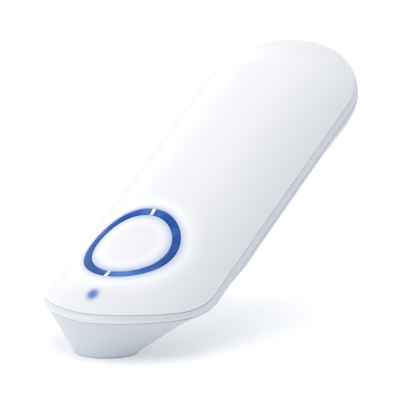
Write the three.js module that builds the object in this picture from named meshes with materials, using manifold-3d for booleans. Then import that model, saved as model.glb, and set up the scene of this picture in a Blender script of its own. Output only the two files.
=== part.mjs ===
// Domed infrared baby thermometer: a white two-shell handset with a light-ring button
// and an oblique round measuring face.
//
// Body frame used while drawing (mm): x runs from the nose tip to the tail, y to the left,
// z up through the thumb button.  The finished part is turned so that the measuring face
// lies on z = 0 with its centre at the origin.
import * as THREE from 'three';
import { mergeVertices } from 'three/addons/utils/BufferGeometryUtils.js';
import Module from 'manifold-3d';

const wasm = await Module();
wasm.setup();

// ---------------------------------------------------------------- driving dimensions
const LENGTH = 111.2;          // nose tip to tail along the seam
const WIDTH = 46.0;            // cover width at the seam
const NOSE = 20.4;             // length of the rounded nose outline
const TAIL = 18.9;             // length of the rounded tail outline
const CROWN = 10.7;            // arch of the cover above the seam
const ARCH_POWER = 2.35;
const NOSE_DROP = 1.76;        // crown falls by this over the last NOSE_RUN
const NOSE_RUN = 10.8;
const TAIL_DROP = 6.55;        // crown falls by this over the last TAIL_RUN
const TAIL_RUN = 18.8;
const COVER_WALL = 1.8;
const HOUSING_WALL = 1.7;
const BAND = 1.9;              // height of the middle band between the two seams
const FLARE = 0.9;             // how far the band and head stand out at the nose
const BELLY = 6.2;             // depth of the lower housing under the band
const TILT = THREE.MathUtils.degToRad(32);   // measuring face against the seam
const FACE_X = 2.12;           // centre of the measuring face
const FACE_Z = -5.48;
const FACE_R = 7.8;
const RING_T = 0.7;            // thickness of the nose ring round the measuring face
const RING_X = 23.8;           // light-ring centre
const RING_OUT = 12.25;
const RING_IN = 10.25;
const PRESS = 0.6;             // button travel
const GAP = 0.2;
const DOT_X = 5.5;             // indicator light
const DOT_R = 1.3;
const BOARD_Z = 1.6;           // underside of the main board
const BOARD_T = 1.2;
const CELL_R = 5.25;           // AAA cell
const CELL_L = 44.5;
const CELL_X = 45.4;
const CELL_Y = 5.45;
const CELL_Z = 0;
const DOOR_X0 = 43.6;
const DOOR_X1 = 93.0;
const DOOR_HALF = 13.2;

// ---------------------------------------------------------------- finishes
const finishes = {
  shellWhite: [0xf2f3f6, 0.32, 0],
  bandGrey: [0xc9cbd8, 0.36, 0],
  housingWhite: [0xe9eaf0, 0.34, 0],
  ringBlue: [0x2f5fc0, 0.22, 0],
  dotBlue: [0x6a8cd0, 0.2, 0],
  innerWhite: [0xdfe1e6, 0.5, 0],
  boardGreen: [0x1d5a3a, 0.5, 0],
  chipBlack: [0x17181b, 0.45, 0],
  steel: [0xb9bcc2, 0.3, 0.9],
  brass: [0xc8a24a, 0.28, 0.9],
  aluminium: [0xc4c7cc, 0.4, 0.9],
  windowDark: [0x2a2d38, 0.12, 0.2],
  rubberGrey: [0x565a63, 0.75, 0],
  cellGreen: [0x2c7a52, 0.35, 0.2],
  flexAmber: [0xb5762a, 0.45, 0],
  ledYellow: [0xf0e8b8, 0.3, 0],
  foamBlack: [0x2a2b2e, 0.9, 0],
};

// ---------------------------------------------------------------- solid helpers
function toSolid(geometry) {
  const clean = geometry.clone();
  clean.deleteAttribute('normal');
  clean.deleteAttribute('uv');
  const merged = mergeVertices(clean, 1e-5);
  return new wasm.Manifold(new wasm.Mesh({
    numProp: 3,
    vertProperties: new Float32Array(merged.attributes.position.array),
    triVerts: new Uint32Array(merged.index.array),
  }));
}

function toGeometry(solid) {
  const raw = solid.getMesh();
  const geometry = new THREE.BufferGeometry();
  geometry.setAttribute('position', new THREE.BufferAttribute(new Float32Array(raw.vertProperties), 3));
  geometry.setIndex(new THREE.BufferAttribute(new Uint32Array(raw.triVerts), 1));
  return geometry;
}

const join = (...solids) => solids.reduce((a, b) => a.add(b));
const cut = (base, ...tools) => tools.reduce((a, b) => a.subtract(b), base);
const common = (a, b) => a.intersect(b);

function box(x0, x1, y0, y1, z0, z1) {
  const geometry = new THREE.BoxGeometry(x1 - x0, y1 - y0, z1 - z0);
  geometry.translate((x0 + x1) / 2, (y0 + y1) / 2, (z0 + z1) / 2);
  return toSolid(geometry);
}

// upright round bar between two heights
function bar(x, y, z0, z1, r, segments = 24, rTop = r) {
  const geometry = new THREE.CylinderGeometry(rTop, r, z1 - z0, segments);
  geometry.rotateX(Math.PI / 2);
  geometry.translate(x, y, (z0 + z1) / 2);
  return toSolid(geometry);
}

// round bar lying along x
function lyingBar(x0, x1, y, z, r, segments = 24) {
  const geometry = new THREE.CylinderGeometry(r, r, x1 - x0, segments);
  geometry.rotateZ(-Math.PI / 2);
  geometry.translate((x0 + x1) / 2, y, z);
  return toSolid(geometry);
}

// round bar along the head axis, heights measured inwards from the measuring face
function headBar(s0, s1, r, u = 0, y = 0, segments = 32, rTop = r) {
  const geometry = new THREE.CylinderGeometry(rTop, r, s1 - s0, segments);
  geometry.rotateX(Math.PI / 2);
  geometry.translate(u, y, (s0 + s1) / 2);
  geometry.rotateY(TILT);
  geometry.translate(FACE_X, 0, FACE_Z);
  return toSolid(geometry);
}

// closed skin over a stack of rings; a ring of one point is an apex.  With ruledStart the
// first ring is closed by strips running straight across from the left side to the right.
function loft(rings, ruledStart = false) {
  const positions = [];
  const starts = rings.map((ring) => {
    const start = positions.length / 3;
    ring.forEach((p) => positions.push(p[0], p[1], p[2]));
    return start;
  });
  const index = [];
  for (let j = 0; j + 1 < rings.length; j += 1) {
    const a = rings[j];
    const b = rings[j + 1];
    const n = Math.max(a.length, b.length);
    for (let i = 0; i < n; i += 1) {
      const k = (i + 1) % n;
      const a0 = starts[j] + (a.length > 1 ? i : 0);
      const a1 = starts[j] + (a.length > 1 ? k : 0);
      const b0 = starts[j + 1] + (b.length > 1 ? i : 0);
      const b1 = starts[j + 1] + (b.length > 1 ? k : 0);
      if (a0 !== a1) index.push(a0, a1, b1);
      if (b0 !== b1) index.push(a0, b1, b0);
    }
  }
  const cap = (ring, start, flip) => {
    const centre = positions.length / 3;
    const mean = [0, 1, 2].map((c) => ring.reduce((sum, p) => sum + p[c], 0) / ring.length);
    positions.push(...mean);
    ring.forEach((_, i) => {
      const k = (i + 1) % ring.length;
      if (flip) index.push(centre, start + i, start + k);
      else index.push(centre, start + k, start + i);
    });
  };
  const across0 = (n) => {
    for (let i = 0; i < n / 2; i += 1) {
      const a = i;
      const b = i + 1;
      const c = n - i - 1;
      const d = (n - i) % n;
      if (b !== c) index.push(a, c, b);
      if (a !== d) index.push(a, d, c);
    }
  };
  if (ruledStart) across0(rings[0].length);
  else if (rings[0].length > 1) cap(rings[0], starts[0], false);
  const last = rings.length - 1;
  if (rings[last].length > 1) cap(rings[last], starts[last], true);
  const geometry = new THREE.BufferGeometry();
  geometry.setAttribute('position', new THREE.BufferAttribute(new Float32Array(positions), 3));
  geometry.setIndex(index);
  return outward(geometry);
}

// ring section swept round a closed path: rows[i] is the section at step i
function hoop(rows) {
  const positions = [];
  rows.forEach((row) => row.forEach((p) => positions.push(p[0], p[1], p[2])));
  const n = rows.length;
  const m = rows[0].length;
  const index = [];
  for (let i = 0; i < n; i += 1) {
    for (let j = 0; j < m; j += 1) {
      const a = i * m + j;
      const b = i * m + (j + 1) % m;
      const c = ((i + 1) % n) * m + (j + 1) % m;
      const d = ((i + 1) % n) * m + j;
      index.push(a, b, c, a, c, d);
    }
  }
  const geometry = new THREE.BufferGeometry();
  geometry.setAttribute('position', new THREE.BufferAttribute(new Float32Array(positions), 3));
  geometry.setIndex(index);
  return outward(geometry);
}

// turn the skin right side out when its signed volume is negative
function outward(geometry) {
  const p = geometry.attributes.position;
  const index = Array.from(geometry.index.array);
  const at = (i) => new THREE.Vector3().fromBufferAttribute(p, i);
  let volume = 0;
  for (let i = 0; i < index.length; i += 3) {
    volume += at(index[i]).dot(at(index[i + 1]).cross(at(index[i + 2])));
  }
  if (volume < 0) {
    for (let i = 0; i < index.length; i += 3) {
      [index[i + 1], index[i + 2]] = [index[i + 2], index[i + 1]];
    }
    geometry.setIndex(index);
  }
  return toSolid(geometry);
}

// ---------------------------------------------------------------- the two seams
// half width of the cover at station x
function halfWidth(x) {
  if (x < NOSE) {
    return (WIDTH / 2) * Math.sqrt(Math.max(0, 1 - ((NOSE - x) / NOSE) ** 2));
  }
  if (x > LENGTH - TAIL) {
    return (WIDTH / 2) * Math.max(0, 1 - ((x - LENGTH + TAIL) / TAIL) ** 2.12) ** (1 / 2.12);
  }
  return WIDTH / 2;
}

// height of the cover skin
function skin(x, y) {
  const nose = Math.max(0, (NOSE_RUN - x) / NOSE_RUN);
  const tail = Math.max(0, (x - LENGTH + TAIL_RUN) / TAIL_RUN);
  return CROWN * (1 - Math.abs((2 * y) / WIDTH) ** ARCH_POWER) - NOSE_DROP * nose ** 2 - TAIL_DROP * tail ** 2;
}

const seam = (x) => skin(x, halfWidth(x));

// points round the outline, starting at the nose tip and running by the left side to the tail
const ARC_STEPS = 9;
const SIDE_STEPS = 5;
function outlineStations() {
  const left = [];
  for (let i = 0; i <= ARC_STEPS; i += 1) {
    const t = (i / ARC_STEPS) * (Math.PI / 2);
    left.push({ x: NOSE * (1 - Math.cos(t)), part: 'nose', t });
  }
  for (let i = 1; i < SIDE_STEPS; i += 1) {
    left.push({ x: NOSE + ((LENGTH - NOSE - TAIL) * i) / SIDE_STEPS, part: 'side', t: i / SIDE_STEPS });
  }
  for (let i = 0; i <= ARC_STEPS; i += 1) {
    const t = (i / ARC_STEPS) * (Math.PI / 2);
    left.push({ x: LENGTH - TAIL + TAIL * Math.sin(t) ** (2 / 2.12), part: 'tail', t });
  }
  return left;
}

// one outline point moved outwards by d (inwards when negative)
function outlinePoint(station, d) {
  const w = WIDTH / 2;
  if (station.part === 'nose') {
    return [NOSE - (NOSE + d) * Math.cos(station.t), (w + d) * Math.sin(station.t)];
  }
  if (station.part === 'tail') {
    const x = LENGTH - TAIL + (TAIL + d) * Math.sin(station.t) ** (2 / 2.12);
    return [x, (w + d) * Math.cos(station.t) ** (2 / 2.12)];
  }
  return [station.x, w + d];
}

function fullLoop(pointAt) {
  const stations = outlineStations();
  const left = stations.map((s) => pointAt(s, 1));
  const right = stations.slice(1, -1).reverse().map((s) => pointAt(s, -1));
  return [...left, ...right];
}

// how far the band stands out of the seam: most at the nose, little along the sides
const flare = (station) => 0.15 + (station.part === 'nose' ? FLARE * Math.cos(station.t) ** 1.5 : 0);

// ---------------------------------------------------------------- cover
const COLUMNS = 14;
function coverSolid(inset, drop) {
  const xs = outlineStations().map((s) => s.x);
  const rings = xs.map((x, i) => {
    const xi = inset + (x * (LENGTH - 2 * inset)) / LENGTH;
    const half = Math.max(0, halfWidth(x) - inset);
    if (i === 0 || i === xs.length - 1) return [[xi, 0, skin(x, 0) - drop]];
    const ring = [];
    for (let k = 0; k <= COLUMNS; k += 1) {
      const f = Math.sin(((k / COLUMNS) * 2 - 1) * (Math.PI / 2));
      ring.push([xi, half * f, skin(x, halfWidth(x) * f) - drop]);
    }
    return ring;
  });
  return loft(rings);
}

const coverOuter = coverSolid(0, 0);
const coverInner = coverSolid(1.2, COVER_WALL);
const skinAbove = (lift) => coverOuter.translate([0, 0, lift]);
// screw columns: x, y and the height of the screw head
const columns = [[40, 17.2, -5.5], [40, -17.2, -5.5], [100.5, 9.5, -4.3], [100.5, -9.5, -4.3]];

let topCover = cut(coverOuter, coverInner);
// collar that carries the light ring
const collar = cut(bar(RING_X, 0, 4.0, 14, 14.2, 48), bar(RING_X, 0, 3, 15, RING_OUT + GAP, 48));
topCover = join(topCover, common(collar, coverOuter));
columns.forEach(([x, y]) => {
  topCover = join(topCover, common(bar(x, y, -6, 14, 2.6), coverOuter));
});
topCover = cut(
  topCover,
  bar(RING_X, 0, -2, 16, RING_OUT + GAP, 48),
  bar(DOT_X, 0, 5, 16, DOT_R + GAP),
  box(8.5, 12.5, -2, 2, 2, 6.3),
);
columns.forEach(([x, y]) => {
  topCover = cut(topCover, bar(x, y, -6, 4.2, 1.25, 16));
});

// ---------------------------------------------------------------- light ring and button
const annulus = (r0, r1, z0, z1) => cut(bar(RING_X, 0, z0, z1, r1, 48), bar(RING_X, 0, z0 - 1, z1 + 1, r0, 48));
const RIB = 0.35;
const ribBox = (half, z0) => box(RING_X - 16, RING_X + 16, -half, half, z0, 16);
const guideFull = common(
  join(annulus(RING_IN, RING_OUT, 6.9, 16), annulus(11.2, RING_OUT, 5.5, 7.2)),
  skinAbove(-0.25),
);
const guideHalves = cut(guideFull, ribBox(RIB + GAP, 0));
const lightRingLeft = common(guideHalves, box(0, 50, 0, 30, 0, 20));
const lightRingRight = common(guideHalves, box(0, 50, -30, 0, 0, 20));

let ringFrame = annulus(10.6, RING_OUT, 4.2, 5.3);
ringFrame = join(ringFrame, common(common(annulus(11.3, RING_OUT, 5.0, 16), ribBox(RIB, 0)), skinAbove(-0.2)));
ringFrame = join(ringFrame, common(common(annulus(RING_IN + 0.02, RING_OUT, 7.1, 16), ribBox(RIB, 0)), skinAbove(-0.2)));
const lampAngles = [30, 90, 150, 210, 270, 330].map((a) => THREE.MathUtils.degToRad(a));
const lampAt = (a) => [RING_X + 11.45 * Math.cos(a), 11.45 * Math.sin(a)];
lampAngles.forEach((a) => {
  ringFrame = cut(ringFrame, bar(...lampAt(a), 3, 6, 0.6, 12));
});

const dish = common(bar(RING_X, 0, 0, 16, RING_IN - GAP, 48), skinAbove(-0.4));
const dishHollow = common(bar(RING_X, 0, 0, 16, RING_IN - 1.6, 32), skinAbove(-2.0));
let powerButton = common(cut(dish, dishHollow), box(0, 50, -20, 20, 6.1, 16));
powerButton = join(powerButton, annulus(RING_IN - 1.6, 10.9, 6.1, 6.8));
powerButton = join(powerButton, bar(RING_X, 0, 7.3, 9.6, 1.9));

const tactSwitch = cut(
  box(RING_X - 3, RING_X + 3, -3, 3, 3.0, 6.2),
  bar(RING_X, 0, 5.0, 7, 1.9),
);
const switchPlunger = bar(RING_X, 0, 5.85, 7.1, 1.6);

// ---------------------------------------------------------------- indicator light
const indicatorLens = common(join(bar(DOT_X, 0, 6.9, 16, DOT_R), bar(DOT_X, 0, 6.9, 7.7, 1.9)), skinAbove(0));
const indicatorLed = box(DOT_X - 0.8, DOT_X + 0.8, -0.6, 0.6, 5.95, 6.6);

// ---------------------------------------------------------------- middle band
const bandRows = fullLoop((s, side) => {
  const z = seam(s.x);
  const out = flare(s);
  const section = [
    [-3.4, -0.2], [0, -0.2], [out * 0.6 + 0.15, -0.7], [out, 0.2 - BAND], [-3.0, 0.2 - BAND], [-3.4, -0.9],
  ];
  return section.map(([d, dz]) => {
    const [x, y] = outlinePoint(s, d);
    return [x, side * y, (d < 0 ? seam(x) : z) + dz];
  });
});
const midBand = hoop(bandRows);

// ---------------------------------------------------------------- lower housing
// One skin from the lower seam to the round measuring face.  Each meridian is a cubic
// Bezier curve B(s) = (1-s)^3 A + 3(1-s)^2 s P + 3(1-s) s^2 Q + s^3 F.
const MERIDIAN_STEPS = 9;
const axisIn = new THREE.Vector3(Math.sin(TILT), 0, Math.cos(TILT));
const across = new THREE.Vector3(Math.cos(TILT), 0, -Math.sin(TILT));
const smooth = (a, b, x) => {
  const t = Math.min(1, Math.max(0, (x - a) / (b - a)));
  return t * t * (3 - 2 * t);
};

function meridian(station, side, inset) {
  const [ax, ay] = outlinePoint(station, flare(station) - inset);
  const start = new THREE.Vector3(ax, side * ay, seam(station.x) - BAND);
  // share of the face circle given to this station: nose first, tail last
  let turn = Math.PI;
  if (station.part === 'nose') turn = station.t * 1.12;
  if (station.part === 'side') turn = 1.76 + 0.74 * station.t;
  if (station.part === 'tail') turn = 2.5 + (Math.PI - 2.5) * (station.t / (Math.PI / 2));
  const r = FACE_R - inset;
  const end = new THREE.Vector3(FACE_X, 0, FACE_Z)
    .addScaledVector(axisIn, RING_T + GAP)
    .addScaledVector(across, -r * Math.cos(turn))
    .add(new THREE.Vector3(0, side * r * Math.sin(turn), 0));
  const rear = smooth(18, 37.6, station.x);
  const depth = BELLY - inset;
  const level = -BAND - depth;
  const frontP = start.clone().lerp(end, 0.4).add(new THREE.Vector3(0, 0, 1));
  const rearP = start.clone();
  rearP.z += (level - start.z) * (0.62 + 0.58 * smooth(80, 108, station.x));
  const frontQ = start.clone().lerp(end, 0.44).addScaledVector(axisIn, 0.3);
  const rearQ = start.clone().lerp(end, 0.55 - 0.2 * smooth(80, 108, station.x));
  rearQ.z = level - 0.4;
  const p = frontP.lerp(rearP, rear);
  const q = frontQ.lerp(rearQ, rear);
  return new THREE.CubicBezierCurve3(start, p, q, end);
}

function housingSolid(inset) {
  const curves = fullLoop((s, side) => meridian(s, side, inset));
  const rings = [];
  if (inset > 0) {
    rings.push(curves.map((c) => [c.v0.x, c.v0.y, c.v0.z + 8]));
  }
  for (let j = 0; j <= MERIDIAN_STEPS; j += 1) {
    const s = j / MERIDIAN_STEPS;
    rings.push(curves.map((c) => c.getPoint(s).toArray()));
  }
  if (inset > 0) {
    rings.push(curves.map((c) => c.v3.clone().addScaledVector(axisIn, -4).toArray()));
  }
  return loft(rings, true);
}

const housingOuter = housingSolid(0);
const housingInner = housingSolid(HOUSING_WALL);
let lowerHousing = cut(housingOuter, housingInner);
columns.forEach(([x, y]) => {
  lowerHousing = join(lowerHousing, common(bar(x, y, -12, -2.2 + (x > 90 ? 0.6 : 0), 2.9), housingOuter));
});
columns.forEach(([x, y, z]) => {
  lowerHousing = cut(lowerHousing, bar(x, y, -14, 4, 1.3, 16), bar(x, y, -14, z + 1.2, 2.4));
});

// battery door in the belly, with two hinge tongues at the front and a screw tab at the tail
const DOOR_SCREW_X = 96.8;
const doorPrism = (grow) => join(
  box(DOOR_X0 - grow, DOOR_X1 + grow, -DOOR_HALF - grow, DOOR_HALF + grow, -14, -1),
  box(DOOR_X1 - 1, DOOR_SCREW_X, -3.4 - grow, 3.4 + grow, -14, -1),
  bar(DOOR_SCREW_X, 0, -14, -1, 3.4 + grow),
);
let batteryDoor = common(cut(housingOuter, housingInner), doorPrism(0));
lowerHousing = cut(lowerHousing, doorPrism(0.3));
[8, -8].forEach((y) => {
  batteryDoor = join(batteryDoor, box(DOOR_X0 - 1.8, DOOR_X0 + 1.6, y - 2, y + 2, -5.6, -4.8));
  batteryDoor = join(batteryDoor, common(box(DOOR_X0, DOOR_X0 + 1.6, y - 2, y + 2, -9, -4.8), housingOuter));
});

// ---------------------------------------------------------------- measuring head
const noseRing = cut(headBar(0, RING_T, FACE_R - 0.25, 0, 0, 48, FACE_R), headBar(-1, 2, 5.2));
const sensorWindow = headBar(0, 0.8, 5.0);
const sensorGasket = cut(headBar(0.95, 2.0, 5.9), headBar(0.5, 3, 4.4));
const sensorHolder = cut(headBar(2.15, 8.5, 5.4), headBar(2, 5.2, 3.2), headBar(5, 9, 2.95));
const waveguide = cut(headBar(1.1, 5.0, 3.0), headBar(1, 6, 2.3, 0, 0, 32, 2.0));
const thermopileCan = headBar(5.3, 8.2, 2.7);
const thermopileBase = headBar(8.35, 8.8, 2.9 - 0.15);
const sensorBoard = cut(
  headBar(9.1, 9.9, 4.2),
  ...[0, 1, 2, 3].map((i) => headBar(9, 10, 0.55, 1.3 * Math.cos(i * Math.PI / 2), 1.3 * Math.sin(i * Math.PI / 2), 10)),
);
const sensorPins = [0, 1, 2, 3].map((i) => (
  headBar(8.95, 10.3, 0.3, 1.3 * Math.cos(i * Math.PI / 2), 1.3 * Math.sin(i * Math.PI / 2), 10)
));

// ---------------------------------------------------------------- main board
const boardTop = BOARD_Z + BOARD_T;
function platePrism(points, z0, z1) {
  const shape = new THREE.Shape();
  points.forEach(([x, y], i) => (i ? shape.lineTo(x, y) : shape.moveTo(x, y)));
  shape.closePath();
  const geometry = new THREE.ExtrudeGeometry(shape, { depth: z1 - z0, bevelEnabled: false });
  geometry.translate(0, 0, z0);
  return toSolid(geometry);
}
const boardHalf = [[12.4, 7.5], [15, 10], [22, 13.6], [41.2, 13.6]];
const boardOutline = [...boardHalf, ...boardHalf.slice().reverse().map(([x, y]) => [x, -y])];
const mainBoard = platePrism(boardOutline, BOARD_Z, boardTop);
const chip = (x, y, lx, ly, h) => box(x - lx / 2, x + lx / 2, y - ly / 2, y + ly / 2, boardTop + GAP, boardTop + GAP + h);
const under = (x, y, lx, ly, h) => box(x - lx / 2, x + lx / 2, y - ly / 2, y + ly / 2, BOARD_Z - GAP - h, BOARD_Z - GAP);
const microcontroller = under(24, -3, 7, 7, 1.0);
const amplifierChip = under(16.5, 0, 3, 3, 0.9);
const regulatorChip = under(35, 6, 3, 2.8, 1.0);
const crystalCan = under(31, -8, 3.2, 1.6, 0.8);
const buzzer = bar(33.5, -1, BOARD_Z - GAP - 2.6, BOARD_Z - GAP, 4.5);
const ringLamps = lampAngles.map((a) => {
  const [x, y] = lampAt(a);
  return box(x - 0.8, x + 0.8, y - 0.6, y + 0.6, boardTop + GAP, boardTop + GAP + 0.9);
});

// thin flex strip from the main board to the indicator light
const flexPath = [[14.4, 3.05], [12.2, 3.05], [9.6, 5.55], [4.0, 5.55]];
const flexShape = new THREE.Shape();
const flexTop = flexPath.map(([x, z]) => [x + 0.1, z + 0.2]);
[...flexPath, ...flexTop.reverse()].forEach(([x, z], i) => (i ? flexShape.lineTo(x, z) : flexShape.moveTo(x, z)));
flexShape.closePath();
const flexGeometry = new THREE.ExtrudeGeometry(flexShape, { depth: 3, bevelEnabled: false });
flexGeometry.rotateX(Math.PI / 2);
flexGeometry.translate(0, 1.5, 0);
const headFlex = toSolid(flexGeometry);

// ---------------------------------------------------------------- battery bay
const bayX0 = CELL_X - 0.9;
const bayX1 = CELL_X + CELL_L + 3.4;
const bayHalf = CELL_Y + CELL_R + 0.3;
let batteryTray = cut(
  box(bayX0 - 1, bayX1 + 1, -bayHalf - 0.9, bayHalf + 0.9, -3.6, 6.0),
  box(bayX0, bayX1, -bayHalf, bayHalf, -5, 5.45),
);
const centreRib = box(bayX0 + 0.9, bayX1 - 0.9, -0.45, 0.45, 3.4, 5.8);
const ribRelief = join(
  lyingBar(bayX0 - 1.5, bayX1 + 1.5, CELL_Y, CELL_Z, CELL_R + 0.25),
  lyingBar(bayX0 - 1.5, bayX1 + 1.5, -CELL_Y, CELL_Z, CELL_R + 0.25),
);
batteryTray = join(batteryTray, common(cut(centreRib, ribRelief), box(bayX0, bayX1, -2, 2, 3.4, 5.6)));
// bracket that takes the door screw
batteryTray = cut(
  join(batteryTray, box(bayX1 + 0.5, DOOR_SCREW_X + 3, -3.2, 3.2, -3.6, -0.4)),
  bar(DOOR_SCREW_X, 0, -5, -1, 1.3, 16),
);

function cell(y, towardsTail) {
  const profile = [[0, 0], [4.6, 0], [5.1, 0.15], [CELL_R, 0.5], [CELL_R, 42.9], [5.0, 43.3], [4.3, 43.5],
    [1.9, 43.5], [1.75, CELL_L], [0, CELL_L]];
  const geometry = new THREE.LatheGeometry(profile.map(([r, h]) => new THREE.Vector2(r, h)), 32);
  geometry.rotateZ(towardsTail ? -Math.PI / 2 : Math.PI / 2);
  geometry.translate(towardsTail ? CELL_X : CELL_X + CELL_L, y, CELL_Z);
  return toSolid(geometry);
}
const batteryLeft = cell(CELL_Y, false);
const batteryRight = cell(-CELL_Y, true);
const plate = (x0, y0, y1) => box(x0, x0 + 0.4, y0, y1, -3.4, 4.2);
const frontPlateLeft = plate(bayX0 + 0.15, 2.2, 8.6);
const frontPlateRight = plate(bayX0 + 0.15, -8.6, -2.2);
const tailBridge = join(
  plate(bayX1 - 0.55, -8.6, 8.6),
  lyingBar(CELL_X + CELL_L + 0.3, bayX1 - 0.4, -CELL_Y, CELL_Z, 2.3, 20),
);

// coil contact spring along x between two stations
function coil(x0, x1, y, z, r, wire, turns) {
  const points = [];
  const steps = turns * 12;
  for (let i = 0; i <= steps; i += 1) {
    const a = (i / 12) * Math.PI * 2;
    points.push(new THREE.Vector3(x0 + ((x1 - x0) * i) / steps, y + r * Math.cos(a), z + r * Math.sin(a)));
  }
  const path = new THREE.CatmullRomCurve3(points);
  const section = new THREE.Shape();
  for (let i = 0; i < 6; i += 1) {
    const a = (i / 6) * Math.PI * 2;
    if (i) section.lineTo(wire * Math.cos(a), wire * Math.sin(a));
    else section.moveTo(wire, 0);
  }
  section.closePath();
  const geometry = new THREE.ExtrudeGeometry(section, { steps: steps, extrudePath: path, bevelEnabled: false });
  return toSolid(geometry);
}
const cellTail = CELL_X + CELL_L;
const tailSpring = coil(cellTail + 0.45, bayX1 - 0.95, CELL_Y, CELL_Z, 2.6, 0.22, 3);

// ---------------------------------------------------------------- screws and door parts
function countersunk(x, y, zHead, zTip, rHead, rShank, headHeight) {
  const head = bar(x, y, zHead, zHead + headHeight, rHead, 20);
  const shank = bar(x, y, zHead + headHeight - 0.2, zTip, rShank, 14);
  const slot = join(
    box(x - rHead * 0.7, x + rHead * 0.7, y - 0.3, y + 0.3, zHead - 1, zHead + 0.6),
    box(x - 0.3, x + 0.3, y - rHead * 0.7, y + rHead * 0.7, zHead - 1, zHead + 0.6),
  );
  return cut(join(head, shank), slot);
}
const screws = columns.map(([x, y, z]) => countersunk(x, y, z, 3.4, 2.1, 1.0, 1.0));

// captive door screw near the tail edge of the door
const doorHole = bar(DOOR_SCREW_X, 0, -12, -3, 1.2, 16);
const doorRecess = bar(DOOR_SCREW_X, 0, -12, -5.2, 2.2);
const doorPad = common(bar(DOOR_SCREW_X, 0, -8, -4.0, 3.3), housingOuter);
batteryDoor = cut(join(batteryDoor, doorPad), doorHole, doorRecess);
const doorScrew = countersunk(DOOR_SCREW_X, 0, -6.1, -1.4, 1.9, 0.9, 0.8);
const doorFoam = box(58, 76, -5, 5, -6.2, -5.6);

// ---------------------------------------------------------------- assembly
const group = new THREE.Group();
group.name = 'ear_thermometer';
const toRow = new THREE.Matrix4().makeRotationY(-TILT)
  .multiply(new THREE.Matrix4().makeTranslation(-FACE_X, 0, -FACE_Z));
function add(name, solid, [color, roughness, metalness]) {
  const geometry = toGeometry(solid).applyMatrix4(toRow);
  geometry.computeVertexNormals();
  const material = new THREE.MeshStandardMaterial({ color, roughness, metalness, name: name + '_finish' });
  const mesh = new THREE.Mesh(geometry, material);
  mesh.name = name;
  group.add(mesh);
}
add('top_cover', topCover, finishes.shellWhite);
add('mid_band', midBand, finishes.bandGrey);
add('lower_housing', lowerHousing, finishes.housingWhite);
add('light_ring_left', lightRingLeft, finishes.ringBlue);
add('light_ring_right', lightRingRight, finishes.ringBlue);
add('ring_frame', ringFrame, finishes.innerWhite);
add('power_button', powerButton, finishes.shellWhite);
add('tact_switch', tactSwitch, finishes.chipBlack);
add('switch_plunger', switchPlunger, finishes.rubberGrey);
add('indicator_lens', indicatorLens, finishes.dotBlue);
add('indicator_lamp', indicatorLed, finishes.ledYellow);
add('head_flex', headFlex, finishes.flexAmber);
add('nose_ring', noseRing, finishes.housingWhite);
add('sensor_window', sensorWindow, finishes.windowDark);
add('sensor_gasket', sensorGasket, finishes.rubberGrey);
add('sensor_holder', sensorHolder, finishes.aluminium);
add('waveguide', waveguide, finishes.brass);
add('thermopile_can', thermopileCan, finishes.steel);
add('thermopile_base', thermopileBase, finishes.brass);
add('sensor_board', sensorBoard, finishes.boardGreen);
sensorPins.forEach((pin, i) => add('sensor_pin_' + (i + 1), pin, finishes.brass));
add('main_board', mainBoard, finishes.boardGreen);
add('microcontroller', microcontroller, finishes.chipBlack);
add('amplifier_chip', amplifierChip, finishes.chipBlack);
add('regulator_chip', regulatorChip, finishes.chipBlack);
add('crystal_can', crystalCan, finishes.steel);
add('buzzer', buzzer, finishes.chipBlack);
ringLamps.forEach((lamp, i) => add('ring_lamp_' + (i + 1), lamp, finishes.ledYellow));
add('battery_tray', batteryTray, finishes.innerWhite);
add('battery_left', batteryLeft, finishes.cellGreen);
add('battery_right', batteryRight, finishes.cellGreen);
add('front_contact_left', frontPlateLeft, finishes.steel);
add('front_contact_right', frontPlateRight, finishes.steel);
add('tail_contact_bridge', tailBridge, finishes.steel);
add('tail_spring_left', tailSpring, finishes.steel);
add('battery_door', batteryDoor, finishes.housingWhite);
add('door_screw', doorScrew, finishes.steel);
add('door_foam', doorFoam, finishes.foamBlack);
screws.forEach((screw, i) => add('housing_screw_' + (i + 1), screw, finishes.steel));

export default group;
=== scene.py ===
# %% [markdown]
# # A domed infrared baby thermometer, built as surfaces
# The handset is a white two-shell moulding: an arched cover, a thin band, and a lower
# housing whose nose narrows to a round measuring face; band and housing are painted a shade
# darker for the shade they sit in.  Every shape below is a formula on a grid, so each cell names
# the curve it uses.  The imported model gives the frame; new surfaces replace its faceted shells
# piece by piece.

import math

import bmesh
import bpy
import numpy as np
from mathutils import Matrix, Vector


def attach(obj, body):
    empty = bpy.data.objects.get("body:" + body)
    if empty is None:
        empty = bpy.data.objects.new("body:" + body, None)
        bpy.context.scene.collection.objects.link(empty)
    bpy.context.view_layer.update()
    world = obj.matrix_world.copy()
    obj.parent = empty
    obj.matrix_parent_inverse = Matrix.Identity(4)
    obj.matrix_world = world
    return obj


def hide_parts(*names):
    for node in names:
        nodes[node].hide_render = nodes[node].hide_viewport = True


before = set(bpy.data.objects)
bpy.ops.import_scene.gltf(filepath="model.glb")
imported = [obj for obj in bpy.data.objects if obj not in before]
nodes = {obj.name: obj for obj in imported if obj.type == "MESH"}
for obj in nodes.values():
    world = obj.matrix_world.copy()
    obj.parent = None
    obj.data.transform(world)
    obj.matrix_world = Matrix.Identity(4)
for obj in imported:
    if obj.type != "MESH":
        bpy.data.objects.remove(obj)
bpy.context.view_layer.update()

# %% [markdown]
# ## Two frames, one size
# The handset is easiest to describe lying flat: x runs from nose to tail, y to the left and z
# up through the thumb button, all in millimetres.  The model itself stands on its measuring
# face, so every finished surface is turned by the tilt of that face and scaled to metres.

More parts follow.
